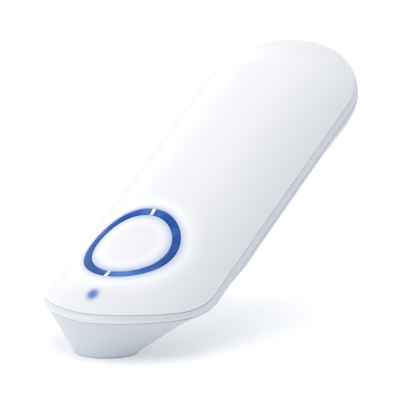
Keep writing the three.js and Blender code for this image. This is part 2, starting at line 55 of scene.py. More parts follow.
# %% Driving dimensions in millimetres
LENGTH, WIDTH = 111.2, 46.0
NOSE, TAIL, TAIL_POWER = 20.4, 18.9, 2.12  # reach of the round ends, squareness of the tail
CROWN, ARCH_POWER = 10.7, 2.35  # height of the cover's arch and how square its shoulders are
NOSE_DROP, NOSE_RUN = 1.76, 10.8  # how far, and over what run, the cover falls at the nose
TAIL_DROP, TAIL_RUN = 6.55, 18.8
BAND, FLARE, BELLY = 1.9, 0.9, 6.2  # band height, its overhang at the nose, depth of the belly
TILT = math.radians(32)
FACE_X, FACE_Z, FACE_R, RING_T = 2.12, -5.48, 7.8, 0.7  # measuring face and its rolled ring
RING_X, RING_OUT, RING_IN = 23.87, 12.17, 10.33  # centre and radii of the light guide
DOT_X, DOT_R = 5.45, 1.3  # lamp lens
WALL, SKIRT = 1.7, 0.34  # housing wall, and where the housing stops above the face
AXIS_IN = np.array([math.sin(TILT), 0.0, math.cos(TILT)])
ACROSS = np.array([math.cos(TILT), 0.0, -math.sin(TILT)])
FACE = np.array([FACE_X, 0.0, FACE_Z])


def to_row(points):
    """Body millimetres to row metres: subtract the face centre, project on the face's own
    axes (across, left, inwards) and multiply by 0.001."""
    p = np.asarray(points, float) - FACE
    return np.stack([p @ ACROSS, p[..., 1], p @ AXIS_IN], axis=-1) * 0.001


print("nose tip stands at", to_row([0, 0, 0]).round(4).tolist(), "m")

# %% [markdown]
# ## From a grid of points to a mesh
# A grid that closes on itself both ways is a hoop; one that closes one way is a tube, whose
# ends are shut with a ring of triangles or pinched to a pole.  One helper does all of them.

# %% Grid to mesh
def grid_faces(rows, cols, close_rows, close_cols):
    """Quads (i,j), (i+1,j), (i+1,j+1), (i,j+1) over the grid, wrapped where it closes."""
    i = np.arange(rows if close_rows else rows - 1)
    j = np.arange(cols if close_cols else cols - 1)
    i, j = np.meshgrid(i, j, indexing="ij")
    i1, j1 = (i + 1) % rows, (j + 1) % cols
    return np.stack([i * cols + j, i1 * cols + j, i1 * cols + j1, i * cols + j1], -1).reshape(-1, 4)


def skin_mesh(name, points, close_rows=False, close_cols=False, cap_rows=False, row_frame=False):
    """Mesh object from a grid; caps fill the first and last row; faces are turned outwards by
    the sign of the enclosed volume."""
    points = np.asarray(points, float)
    rows, cols = points.shape[:2]
    flat = points.reshape(-1, 3) if row_frame else to_row(points.reshape(-1, 3))
    faces = [tuple(f) for f in grid_faces(rows, cols, close_rows, close_cols).tolist()]
    if cap_rows:
        faces.append(tuple(range(cols))[::-1])
        faces.append(tuple(range((rows - 1) * cols, rows * cols)))
    mesh = bpy.data.meshes.new(name)
    mesh.from_pydata(flat.tolist(), [], faces)
    bm = bmesh.new()
    bm.from_mesh(mesh)
    bmesh.ops.remove_doubles(bm, verts=bm.verts, dist=1e-7)
    bmesh.ops.recalc_face_normals(bm, faces=bm.faces)
    if bm.calc_volume(signed=True) < 0:
        bmesh.ops.reverse_faces(bm, faces=bm.faces)
    bm.to_mesh(mesh)
    bm.free()
    obj = bpy.data.objects.new(name, mesh)
    bpy.context.scene.collection.objects.link(obj)
    mesh.shade_smooth()
    return obj


def bezier2(a, b, c, t):
    """Quadratic Bezier (1-t)^2 a + 2t(1-t) b + t^2 c, used for every rounded edge."""
    t = np.asarray(t)[:, None, None]
    return (1 - t) ** 2 * a + 2 * t * (1 - t) * b + t ** 2 * c


def smooth(a, b, x):
    """Smoothstep 3t^2 - 2t^3 between a and b."""
    t = np.clip((np.asarray(x, float) - a) / (b - a), 0, 1)
    return t * t * (3 - 2 * t)


print("a hoop of 3 by 4 points has", len(grid_faces(3, 4, True, True)), "faces")

# %% [markdown]
# ## The outline and the arch
# In plan the handset is a quarter-ellipse nose, two straight sides and a slightly squarer
# tail.  Across, the cover is an arch that gets steep towards the seam.  The seam is where the
# arch meets the outline, so it climbs at both ends without being drawn.

# %% Plan outline and cover height
def arch(x, y):
    """Cover height: crown times (1 - |2y/W|^p), less a parabola at the nose and at the tail."""
    nose = np.clip((NOSE_RUN - x) / NOSE_RUN, 0, None)
    tail = np.clip((x - LENGTH + TAIL_RUN) / TAIL_RUN, 0, None)
    bow = CROWN * (1 - np.abs(2 * y / WIDTH) ** ARCH_POWER)
    return bow - NOSE_DROP * nose ** 2 - TAIL_DROP * tail ** 2


def outline(n):
    """n points evenly spaced along the closed outline, from the nose tip by the left side, with
    outward normals, and u, the share of the way from nose tip (0) to tail tip (1)."""
    a = np.linspace(0, np.pi / 2, 400)
    nose = np.stack([NOSE - NOSE * np.cos(a), WIDTH / 2 * np.sin(a)], 1)
    tail = np.stack([LENGTH - TAIL + TAIL * np.sin(a) ** (2 / TAIL_POWER),
                     WIDTH / 2 * np.cos(a) ** (2 / TAIL_POWER)], 1)
    left = np.concatenate([nose, tail])
    path = np.concatenate([left, (left * [1, -1])[::-1][1:]])
    step = np.r_[0, np.cumsum(np.linalg.norm(np.diff(path, axis=0), axis=1))]
    at = np.linspace(0, step[-1], n, endpoint=False)
    p = np.stack([np.interp(at, step, path[:, 0]), np.interp(at, step, path[:, 1])], 1)
    d = np.roll(p, -1, 0) - np.roll(p, 1, 0)
    normal = np.stack([-d[:, 1], d[:, 0]], 1)
    normal /= np.linalg.norm(normal, axis=1)[:, None]
    u = 1 - np.abs(1 - 2 * at / step[-1])
    return p, normal, u


AROUND = 480  # points round the outline
EDGE, EDGE_N, EDGE_U = outline(AROUND)
SEAM_Z = arch(EDGE[:, 0], EDGE[:, 1])
print("outline length mm", round(float(np.linalg.norm(np.diff(EDGE, axis=0), axis=1).sum()), 1))


def rim(out, drop):
    """Points on the outline moved outwards by out, at the seam height less drop."""
    p = EDGE + EDGE_N * np.reshape(out * np.ones(AROUND), (-1, 1))
    return np.column_stack([p, SEAM_Z - drop])


# %% [markdown]
# ## Top cover
# The real cover is a moulded shell with a round hole for the light ring.  Straight spokes run
# from the hole to the outline and every spoke lies on the arch, which keeps both edges exact.
# The grid then turns over each edge on a small radius and comes back inside as the wall.

# %% Cover surface
def on_arch(p, drop=0.0):
    """Lift plan points onto the arch, less drop."""
    return np.concatenate([p, (arch(p[..., 0], p[..., 1]) - drop)[..., None]], -1)


def ring_points(r, n_source):
    """Points at radius r round the ring centre, in the direction of each outline point."""
    d = n_source - [RING_X, 0]
    return np.array([RING_X, 0]) + r * d / np.linalg.norm(d, axis=1)[:, None]


def cover_grid():
    """Rows: hole wall, hole edge, arch, rim edge, underside of the rim, inside of the arch."""
    hole, edge_r, rim_in, lip, wall_in = RING_OUT + 0.1, 0.22, 0.3, 1.4, 1.5
    near = on_arch(ring_points(hole + edge_r, EDGE))
    corner = on_arch(ring_points(hole, EDGE))
    wall = on_arch(ring_points(hole, EDGE), edge_r)
    hole_edge = bezier2(wall, corner, near, np.linspace(0, 1, 7))
    a = ring_points(hole + edge_r, EDGE)
    b = EDGE - EDGE_N * rim_in
    s = np.linspace(0, 1, 70)[1:-1, None, None]
    skin = on_arch(a + (b - a) * s)
    rim_edge = bezier2(on_arch(b), rim(0, 0), rim(-rim_in, 0.02), np.linspace(0, 1, 9))
    inner_rim = rim(-lip, 0.02)[None]
    back = np.linspace(1, 0, 24)[:, None, None]
    c = EDGE - EDGE_N * wall_in
    d = ring_points(hole, EDGE)
    plan = d + (c - d) * back
    away = np.linalg.norm(plan - c, axis=-1)
    inside = on_arch(plan, 0.25 + 1.55 * smooth(0, 5, away))
    return np.concatenate([hole_edge, skin, rim_edge, inner_rim, inside])


cover = skin_mesh("cover_shell", cover_grid(), close_rows=True, close_cols=True)
print("cover faces", len(cover.data.polygons))

# %% [markdown]
# ## Light ring, ribs and button
# The ring is a translucent guide in two halves; two thin white ribs of the frame under it show
# between them on the centre line.  The guide slopes a little inwards, from the cover down to
# the large white button, which sits lower than the cover so that a thumb can find its edge.

# %% Ring halves
RIB_HALF = 0.46  # half the width of a rib
BUTTON_SINK = 0.36  # how far the button sits below the arch
GUIDE_EDGE, GUIDE_FOOT = 0.1, 2.4  # rounding of the guide's top corners, depth of its foot


def guide_height(r):
    """Height over the arch: a straight fall from -0.12 mm outside to -0.37 mm inside."""
    return -0.12 - 0.25 * (RING_OUT - r) / (RING_OUT - RING_IN)


def ring_section(r0, r1, edge, depth):
    """Closed (radius, height over the arch) section: two rounded top corners, a flat foot."""
    t = np.linspace(0, 1, 7)[:, None]
    h0, h1 = guide_height(r0), guide_height(r1)
    inner = (1 - t) ** 2 * [r0, h0 - edge] + 2 * t * (1 - t) * [r0, h0] + t**2 * [r0 + edge, h0]
    middle = np.linspace([r0 + edge, h0], [r1 - edge, h1], 8)[1:-1]
    middle[:, 1] += 0.05 * np.sin(np.linspace(0, np.pi, 8)[1:-1])
    outer = (1 - t) ** 2 * [r1 - edge, h1] + 2 * t * (1 - t) * [r1, h1] + t**2 * [r1, h1 - edge]
    return np.concatenate([[[r0, -depth]], inner, middle, outer, [[r1, -depth]]])


def ring_half(name, side):
    """Section swept over half a turn on the arch, stopping just short of the ribs."""
    section = ring_section(RING_IN, RING_OUT, GUIDE_EDGE, GUIDE_FOOT)
    skip = (RIB_HALF + 0.05) / ((RING_IN + RING_OUT) / 2)
    angle = np.linspace(skip, math.pi - skip, 140) * side
    x = RING_X + section[None, :, 0] * np.cos(angle)[:, None]
    y = section[None, :, 0] * np.sin(angle)[:, None]
    z = arch(x, y) + section[None, :, 1]
    return skin_mesh(name, np.stack([x, y, z], -1), close_cols=True, cap_rows=True)


ring_left = ring_half("light_guide_left", 1)
ring_right = ring_half("light_guide_right", -1)
print("guide faces per half", len(ring_left.data.polygons))

# %% [markdown]
# The ribs belong to a white frame under the guide.  Each is a short bar with rounded
# shoulders that follows the guide's own slope, so it never stands proud of the cover.

# %% Ribs of the ring frame
def rib(name, side):
    """A short bar across the ring with rounded shoulders, a hair above the guide."""
    half = RIB_HALF
    across = np.array([[-half, -GUIDE_FOOT], [-half, -0.12], [-0.75 * half, -0.01], [0, 0.02],
                       [0.75 * half, -0.01], [half, -0.12], [half, -GUIDE_FOOT]])
    r = np.linspace(RING_IN + 0.02, RING_OUT - 0.02, 14)
    x = RING_X + side * r[:, None] + 0 * across[None, :, 0]
    y = 0 * r[:, None] + across[None, :, 0]
    z = arch(x, y) + guide_height(r)[:, None] + 0.04 + across[None, :, 1]
    return skin_mesh(name, np.stack([x, y, z], -1), close_cols=True, cap_rows=True)


rib_front = rib("ring_rib_front", -1)
rib_rear = rib("ring_rib_rear", 1)
print("ribs", 2 * RIB_HALF, "mm wide")

# %% [markdown]
# A disc is a polar grid: a pole, rings of growing radius, a rounded edge, the skirt, the foot
# and a second pole.  The button and the lamp lens are both such discs laid on the arch.

# %% Button and lamp lens
def disc_grid(cx, radius, edge, depth, rings, height):
    """Radii 0..R-e, then the quadratic edge, skirt and foot; height(x, y, r) gives the top."""
    turn = np.linspace(0, 2 * np.pi, 192, endpoint=False)
    r_top = np.linspace(0, radius - edge, rings)
    t = np.linspace(0, 1, 7)[1:]
    r_edge = (1 - t) ** 2 * (radius - edge) + 2 * t * (1 - t) * radius + t**2 * radius
    r = np.concatenate([r_top, r_edge, [radius, radius * 0.6, 0]])
    dz = np.concatenate([0 * r_top, -edge * t**2, [-depth, -depth, -depth]])
    x = cx + r[:, None] * np.cos(turn)
    y = r[:, None] * np.sin(turn)
    return np.stack([x, y, height(x, y, r[:, None]) + dz[:, None]], -1)


def button_height(x, y, r):
    """The arch less the sink, less 0.18 mm times one minus smoothstep(r): a bowl in the middle."""
    return arch(x, y) - BUTTON_SINK - 0.18 * (1 - smooth(3.0, 8.6, r))


def stem_height(x, y, r):
    """A flat top where the stem meets the underside of the button."""
    return 8.9 + 0 * x


def lens_height(x, y, r):
    """The arch plus a hundredth of a millimetre."""
    return arch(x, y) + 0.01


button_disc = disc_grid(RING_X, RING_IN - 0.09, 0.16, 1.6, 48, button_height)
button = skin_mesh("button_cap", button_disc, close_cols=True)
stem = skin_mesh("button_stem", disc_grid(RING_X, 1.9, 0.2, 1.6, 6, stem_height), close_cols=True)
lens_disc = disc_grid(DOT_X, DOT_R + 0.15, 0.03, 2.4, 14, lens_height)
lens = skin_mesh("lamp_lens_disc", lens_disc, close_cols=True)
print("button across", round(2 * (RING_IN - 0.09), 2), "mm")

# %% [markdown]
# ## Middle band
# The band is one thin moulding swept along the seam.  Its face bulges a little and stands
# furthest out at the nose, where it leads into the head.

# %% Band surface
FLARE_AT = 0.15 + FLARE * np.clip(1 - EDGE[:, 0] / NOSE, 0, 1) ** 1.5  # overhang at each point
TOP_GAP, SEAM_GAP, LIP = 0.13, 0.12, 3.2  # shadow gaps above and below, reach of the lips inwards


def band_grid():
    """Rows of (out, drop): flat top lip, a Bezier round the top edge, a Bezier bulge that grows
    with the flare, a Bezier round the bottom edge, flat bottom lip."""
    f = FLARE_AT
    low = BAND - SEAM_GAP
    shoulder = rim(0.12 + 0.45 * f, 0.45)
    foot = rim(0.1 + f, low - 0.2)
    rows = [rim(-LIP, TOP_GAP), rim(-0.4, TOP_GAP)]
    rows += list(bezier2(rim(-0.2, TOP_GAP), rim(0.1 + 0.1 * f, TOP_GAP), shoulder, np.linspace(0, 1, 6)))
    rows += list(bezier2(shoulder, rim(0.16 + 0.9 * f, 1.0), foot, np.linspace(0, 1, 8))[1:])
    rows += list(bezier2(foot, rim(0.1 + f, low), rim(-0.15 + f, low), np.linspace(0, 1, 6))[1:])
    rows += [rim(-LIP, low)]
    return np.array(rows)


band = skin_mesh("seam_band", band_grid(), close_rows=True, close_cols=True)
print("band overhang from", round(float(FLARE_AT.min()), 2), "to", round(float(FLARE_AT.max()), 2), "mm")

# %% [markdown]
# ## Lower housing
# One skin carries the belly and the head.  Each meridian is a cubic Bezier curve from a point
# of the lower seam to a point of the round collar, so the wide belly pours into the head.  The
# front curves start inwards, a little above a straight line, which draws the flank in below
# the band; from about a third of the way back the curves drop to the level of the belly first.

# %% Meridians from the lower seam to the collar
def through(u, knots):
    """Smooth curve through (u, value) knots: cubic Hermite pieces with central slopes."""
    k = np.array(knots, float)
    x, v = k[:, 0], k[:, 1]
    m = np.gradient(v, x)
    i = np.clip(np.searchsorted(x, u, side="right") - 1, 0, len(x) - 2)
    h = x[i + 1] - x[i]
    t = (u - x[i]) / h
    return ((2 * t**3 - 3 * t**2 + 1) * v[i] + (t**3 - 2 * t**2 + t) * h * m[i]
            + (3 * t**2 - 2 * t**3) * v[i + 1] + (t**3 - t**2) * h * m[i + 1])


SIDE = np.where(np.arange(AROUND) <= AROUND // 2, 1.0, -1.0)
TURN = through(EDGE_U, [(0, 0), (0.245, 1.76), (0.76, 2.5), (1, math.pi)])  # angle on the collar


def housing_grid(inset, rows):
    """Cubic Bezier (1-s)^3 A + 3s(1-s)^2 P + 3s^2(1-s) Q + s^3 F for every outline point, where
    P and Q pass from the head's pair to the belly's pair by a smoothstep along x."""
    f = FLARE_AT - inset
    start = rim(f, BAND)
    r = FACE_R - inset
    end = (FACE + AXIS_IN * SKIRT)[None] - np.outer(r * np.cos(TURN), ACROSS)
    end[:, 1] += SIDE * r * np.sin(TURN)
    rear = smooth(18, 37.6, EDGE[:, 0])[:, None]
    full = smooth(80, 108, EDGE[:, 0])[:, None]
    level = -BAND - (BELLY - inset)
    drop = (level - start[:, 2:]) * (0.62 + 0.58 * full)
    front_p = start + (end - start) * 0.4 + [0, 0, 1.0]
    rear_p = start + drop * [0, 0, 1]
    front_q = start + (end - start) * 0.44 + AXIS_IN * 0.3
    rear_q = start + (end - start) * (0.55 - 0.2 * full)
    rear_q[:, 2] = level - 0.4
    p = front_p + (rear_p - front_p) * rear
    q = front_q + (rear_q - front_q) * rear
    s = np.linspace(0, 1, rows)[:, None, None]
    return (1 - s) ** 3 * start + 3 * s * (1 - s) ** 2 * p + 3 * s**2 * (1 - s) * q + s**3 * end


housing_loop = np.concatenate([housing_grid(0.0, 64), housing_grid(WALL, 40)[::-1]])
housing = skin_mesh("lower_shell", housing_loop, close_rows=True, close_cols=True)
print("housing faces", len(housing.data.polygons))

# %% [markdown]
# ## Nose ring and window
# The head ends in a small rolled ring with a dark infrared window set flush inside it.  Both
# are turned shapes, so a profile in (radius, height) is spun round the head's own axis.

# %% Turned pieces on the head axis
def turned(name, profile, segments=128):
    """Spin a closed (radius, height) profile: (r cos a, r sin a, h) round the head's axis."""
    p = np.array(profile, float) * 0.001
    a = np.linspace(0, 2 * np.pi, segments, endpoint=False)
    grid = np.stack([p[:, :1] * np.cos(a), p[:, :1] * np.sin(a), p[:, 1:] + 0 * a[None]], -1)
    return skin_mesh(name, grid, close_rows=True, close_cols=True, row_frame=True)


def rounded(points, radius, steps=6):
    """Round every corner of a closed (r, z) outline with a quadratic Bezier of that reach."""
    pts = np.array(points, float)
    out = []
    for i, corner in enumerate(pts):
        before, after = pts[i - 1], pts[(i + 1) % len(pts)]
        reach = [min(radius, 0.45 * np.linalg.norm(v - corner)) for v in (before, after)]
        a = corner + (before - corner) / np.linalg.norm(before - corner) * reach[0]
        c = corner + (after - corner) / np.linalg.norm(after - corner) * reach[1]
        t = np.linspace(0, 1, steps)[:, None]
        out.append((1 - t) ** 2 * a + 2 * t * (1 - t) * corner + t**2 * c)
    return np.concatenate(out)


WINDOW_R, WINDOW_T, BORE_R = 5.0, 0.8, 5.2
roll = [(BORE_R, 0.0), (7.62, 0.0), (FACE_R, 0.16), (FACE_R, 0.28), (7.2, 0.3), (BORE_R, RING_T)]
nose_ring = turned("nose_ring_turned", rounded(roll, 0.08))
window = turned("window_disc", [(1e-6, 0.0), (WINDOW_R, 0.0), (WINDOW_R, WINDOW_T), (1e-6, WINDOW_T)])
print("gap round the window", round(BORE_R - WINDOW_R, 2), "mm")

# %% [markdown]
# ## Door, pockets and inner cups
# The battery door is cut from the very skin it closes, so its surface runs on without a step.
# A plan outline pushed straight through the shell is the knife: the shell loses a slightly
# larger outline and the door keeps the smaller one, which leaves the gap all round.

# %% Door outline
DOOR_X0, DOOR_X1, DOOR_HALF, SCREW_X, HINGE_Z = 43.6, 93.0, 13.2, 96.8, -8.6
SCREWS = [(40.0, 17.2, -5.5), (40.0, -17.2, -5.5), (100.5, 9.5, -4.3), (100.5, -9.5, -4.3)]


def arc(cx, cy, r, a0, a1, n=10):
    """Points on a circle from angle a0 to a1, in degrees."""
    a = np.radians(np.linspace(a0, a1, n))
    return np.stack([cx + r * np.cos(a), cy + r * np.sin(a)], 1)


def door_outline(grow):
    """Rectangle with 1.2 mm corners and a round screw tab at the tail, grown by the gap."""
    x0, x1, h, t = DOOR_X0 - grow, DOOR_X1 + grow, DOOR_HALF + grow, 3.4 + grow
    r = 1.2
    right = [arc(x0 + r, -h + r, r, 180, 270), arc(x1 - r, -h + r, r, 270, 360),
             arc(x1 + r, -t - r, r, 180, 90, 6), arc(SCREW_X, 0, t, -90, 90, 24)]
    left = [arc(x1 + r, t + r, r, 270, 180, 6), arc(x1 - r, h - r, r, 0, 90), arc(x0 + r, h - r, r, 90, 180)]
    return np.concatenate(right + left)


print("door", DOOR_X1 - DOOR_X0, "by", 2 * DOOR_HALF, "mm, points", len(door_outline(0.0)))

# %% [markdown]
# A knife is a plan outline pushed upwards, or a side section pushed across.  The Boolean
# modifier does each cut and is frozen into the mesh at once, so the finished pieces carry no
# live modifiers; only edges sharper than 35 degrees are drawn hard.

# %% Knives and cuts
def prism(name, plan, z0, z1):
    """A closed plan outline (x, y) pushed from z0 to z1."""
    grid = np.stack([np.column_stack([plan, np.full(len(plan), z)]) for z in (z0, z1)])
    return skin_mesh(name, grid, close_cols=True, cap_rows=True)


def slab(name, section, y0, y1):
    """A closed (x, z) section pushed across the handset from y0 to y1."""
    p = np.array(section, float)
    grid = np.stack([np.column_stack([p[:, 0], np.full(len(p), y), p[:, 1]]) for y in (y0, y1)])
    return skin_mesh(name, grid, close_cols=True, cap_rows=True)


def carve(obj, operation, *knives):
    """Boolean each knife into the object, freeze the result and drop the knives."""
    for knife in knives:
        step = obj.modifiers.new("cut", "BOOLEAN")
        step.operation, step.solver, step.object = operation, "EXACT", knife
        graph = bpy.context.evaluated_depsgraph_get()
        mesh = bpy.data.meshes.new_from_object(obj.evaluated_get(graph))
        obj.modifiers.clear()
        old, obj.data = obj.data, mesh
        bpy.data.meshes.remove(old)
        bpy.data.objects.remove(knife)
    obj.data.shade_smooth()
    obj.data.set_sharp_from_angle(angle=math.radians(35))
    return obj


print("knives can be prisms (plan) or slabs (side)")

# %% [markdown]
# The door is a copy of the housing kept inside the outline.  Its hinge edge is eased by a
# wedge, so that the lip swings past the housing when the door opens.

# %% Door and openings
DOOR_GAP, HOLE_R, HEAD_R = 0.25, 2.4, 2.2
door = housing.copy()
door.data = housing.data.copy()
door.name = door.data.name = "door_panel"
bpy.context.scene.collection.objects.link(door)
circle = arc(0, 0, 1, 0, 360, 49)[:-1]
carve(door, "INTERSECT", prism("knife", door_outline(0.0), -14, -1))
hinge_ease = np.array([(-1, -0.2), (0, -0.2), (0.95, -0.6), (0.95, -3), (-1, -3)]) + [DOOR_X0, HINGE_Z]
carve(door, "DIFFERENCE", prism("knife", circle * HEAD_R + [SCREW_X, 0], -14, -1),
      slab("knife", hinge_ease, -12, 12))
carve(housing, "DIFFERENCE", prism("knife", door_outline(DOOR_GAP), -14, -1),
      *[prism("knife", circle * HOLE_R + [x, y], -14, -1) for x, y, z in SCREWS])
print("door faces", len(door.data.polygons), "housing faces", len(housing.data.polygons))

# %% [markdown]
# Each screw sits at the bottom of a moulded cup.  A cup is a turned wall with a floor, spun
# round an upright line of the handset.

# %% Cups round the screws
def cup(name, x, y, profile, segments=64):
    """Spin a closed (radius, height) section: (x + r cos a, y + r sin a, h)."""
    p = np.array(profile, float)
    a = np.linspace(0, 2 * np.pi, segments, endpoint=False)
    grid = np.stack([x + p[:, :1] * np.cos(a), y + p[:, :1] * np.sin(a), p[:, 1:] + 0 * a[None]], -1)
    return skin_mesh(name, grid, close_rows=True, close_cols=True)


def belly(x, y):
    """Height of the outer skin under (x, y): that of the nearest point of its own grid."""
    grid = housing_grid(0.0, 160)
    below = grid[..., 2] < -2.2
    hit = np.argmin(np.where(below, np.hypot(grid[..., 0] - x, grid[..., 1] - y), 50))
    return float(grid.reshape(-1, 3)[hit, 2])


cups = []
for k, (x, y, head) in enumerate(SCREWS):
    low, high = belly(x, y) + 1.0, head + 1.25
    ring_wall = [(HOLE_R, low), (2.9, low), (2.9, high + 1.2), (1.3, high + 1.2), (1.3, high), (HOLE_R, high)]
    cups.append(cup("screw_cup_%d" % (k + 1), x, y, ring_wall))
door_cup = cup("door_screw_cup", SCREW_X, 0,
               [(HEAD_R, -6.4), (3.2, -6.6), (3.2, -4.1), (1.2, -4.1), (1.2, -5.2), (HEAD_R, -5.2)])
print("cups from", [round(belly(x, y), 2) for x, y, z in SCREWS])

# %% [markdown]
# Two tongues at the front of the door hook behind the edge of the housing.  They are what the
# door swings on.

# %% Hinge tongues
hook = np.array([(-1.8, -5.5), (-1.8, -4.9), (1.2, -4.9), (1.6, -8.2), (0.2, -8.2), (0, -5.5)]) + [DOOR_X0, 0]
tongues = [slab("door_tongue_%d" % (k + 1), hook, y - 2, y + 2) for k, y in enumerate((8, -8))]
print("tongues reach", round(DOOR_X0 - hook[:, 0].min(), 2), "mm forward")

# %% [markdown]
# ## Colours and one node helper
# Plastic colours are given as sRGB hex and turned to linear light once, in one place.  Nodes are
# added by one function that takes a node's settings and links, so a material reads as a recipe.

# %% Colour and node helpers
def linear(hex_text):
    """sRGB hex to linear RGBA: c/12.92 below 0.04045, else ((c+0.055)/1.055)^2.4."""
    c = np.array([int(hex_text[i:i + 2], 16) for i in (1, 3, 5)]) / 255
    light = np.where(c <= 0.04045, c / 12.92, ((c + 0.055) / 1.055) ** 2.4)
    return (*light.tolist(), 1.0)


def add(tree, kind, settings=None, links=None, out=0):
    """Add a node: a setting names an input, a property, or a ramp's stops as (position, hex); a
    link feeds an input from a socket.  The chosen output comes back."""
    node = tree.nodes.new("ShaderNode" + kind)
    for key, value in (settings or {}).items():
        if key == "stops":
            line = node.color_ramp.elements
            line.remove(line[-1])
            line[0].position, line[0].color = value[0][0], linear(value[0][1])
            for position, color in value[1:]:
                line.new(position).color = linear(color)
        elif isinstance(key, int) or key in node.inputs:
            node.inputs[key].default_value = value
        else:
            setattr(node, key, value)
    for key, socket in (links or {}).items():
        tree.links.new(socket, node.inputs[key])
    return node.outputs[out] if len(node.outputs) else node


print("mid grey in linear light:", [round(v, 3) for v in linear("#808080")])

# %% [markdown]
# ## What every finish shares
# A moulded, drawn or cast surface has two scales: a fine grain that roughens the highlight and
# a slow drift in gloss.  Object coordinates are in metres, so a noise scale of 500 over a size
# in millimetres gives features of about that size.

# %% Recipes shared by the materials
NOISE_PER_MM = 500.0
FACTOR, COLOR_A, COLOR_B, MIXED = 0, 6, 7, 2  # places of a colour Mix node's sockets


def material(name):
    """A named material with no nodes yet, its tree, and the Object coordinates."""
    made = bpy.data.materials.new(name)
    made.use_nodes = True
    made.node_tree.nodes.clear()
    return made, made.node_tree, add(made.node_tree, "TexCoord", out="Object")


def two_tone(tree, where, color_a, color_b, size_mm, detail):
    """Two close colours: a + (b - a) times noise of about size_mm."""
    cloud = add(tree, "TexNoise", {"Scale": NOISE_PER_MM / size_mm, "Detail": detail}, {"Vector": where})
    return add(tree, "Mix", {"data_type": "RGBA", COLOR_A: color_a, COLOR_B: color_b}, {FACTOR: cloud}, MIXED)


def handset_mm(tree, where, x):
    """Row metres back to handset millimetres from the upright line at (x, 0): scale by 1000,
    turn by the tilt, shift by the face centre less x."""
    settings = {"Scale": (1000, 1000, 1000), "Rotation": (0, TILT, 0), "Location": (FACE_X - x, 0, 0)}
    return add(tree, "Mapping", settings, {"Vector": where})


def plan_distance(tree, where, x, span):
    """Length of (x, y) from the upright line at (x, 0), as a share of span millimetres."""
    flat = add(tree, "VectorMath", {"operation": "MULTIPLY", 1: (1 / span, 1 / span, 0)},
               {0: handset_mm(tree, where, x)})
    return add(tree, "VectorMath", {"operation": "LENGTH"}, {0: flat}, "Value")


def finish(tree, where, gloss=None, grain=None, **inputs):
    """Close a material.  Roughness runs from low to high over patches: gloss is (mm, detail, low,
    high).  The relief is noise: grain is (mm, detail, depth mm).  Other inputs of the Principled
    shader come by name, each a value or a socket."""
    inputs = {key.replace("_", " "): v for key, v in inputs.items()}
    if gloss:
        size, detail, low, high = gloss
        cloud = add(tree, "TexNoise", {"Scale": NOISE_PER_MM / size, "Detail": detail}, {"Vector": where})
        inputs["Roughness"] = add(tree, "MapRange", {"To Min": low, "To Max": high}, {"Value": cloud})
    if grain:
        size, detail, depth = grain
        relief = add(tree, "TexNoise", {"Scale": NOISE_PER_MM / size, "Detail": detail}, {"Vector": where})
        inputs["Normal"] = add(tree, "Bump", {"Strength": 1.0, "Distance": depth / 1000}, {"Height": relief})
    fed = {key: v for key, v in inputs.items() if isinstance(v, bpy.types.NodeSocket)}
    fixed = {key: v for key, v in inputs.items() if key not in fed}
    add(tree, "OutputMaterial", links={"Surface": add(tree, "BsdfPrincipled", fixed, fed)})


print("a 0.3 mm grain has noise scale", round(NOISE_PER_MM / 0.3))

# %% [markdown]
# ## White moulded ABS
# The shells are satin white ABS from a fine spark-eroded tool: a grain of about a third of a
# millimetre, a few microns deep, and a slow drift in gloss where the melt cooled unevenly.
# Near the guide its light is painted into the plastic: a painted blue glow in the base colour
# within a millimetre or two, then nearly white, and a faint painted emission halo.  Both are ramps
# over the plan distance from the ring's centre, and the lamp's dot is a third ramp round its own
# centre, a painted blue glow in the base colour, soft as light is in thick plastic.

# %% Painted glow of the guide and the lamp on the shell
GLOW_SPAN, DOT_SPAN = 24.0, 4.6  # millimetres over which the ramps run
PAINTED_GLOW_TINT_MM = [(7.8, "#FFFFFF"), (8.45, "#F9FCFE"), (9.0, "#ECF1FA"), (9.48, "#DEE6F7"), (9.89, "#CEDAF3"),
           (10.32, "#BCCBF1"), (12.29, "#BCCBF1"), (12.53, "#CEDAF6"), (12.86, "#E2E8FA"),
           (13.34, "#F3F6FE"), (14.16, "#FFFFFF")]
PAINTED_GLOW_EMISSION_MM = [(5.52, "#000000"), (7.2, "#CBCBCB"), (8.28, "#A0AABC"), (9.6, "#6C89BC"), (12.72, "#6C89BC"),
            (13.8, "#E1E5ED"), (14.64, "#FFFFFF"), (15.6, "#C4C4C7"), (17.04, "#616161"), (19.2, "#000000")]
PAINTED_DOT_GLOW_MM = [(0.0, "#FFFFFF"), (0.64, "#FAFAFA"), (1.01, "#EAEAEA"), (1.38, "#C5C5C5"), (1.75, "#909090"),
           (2.16, "#555555"), (2.76, "#000000")]
print("the leak is deepest from", PAINTED_GLOW_TINT_MM[5][0], "to", PAINTED_GLOW_TINT_MM[6][0], "mm")
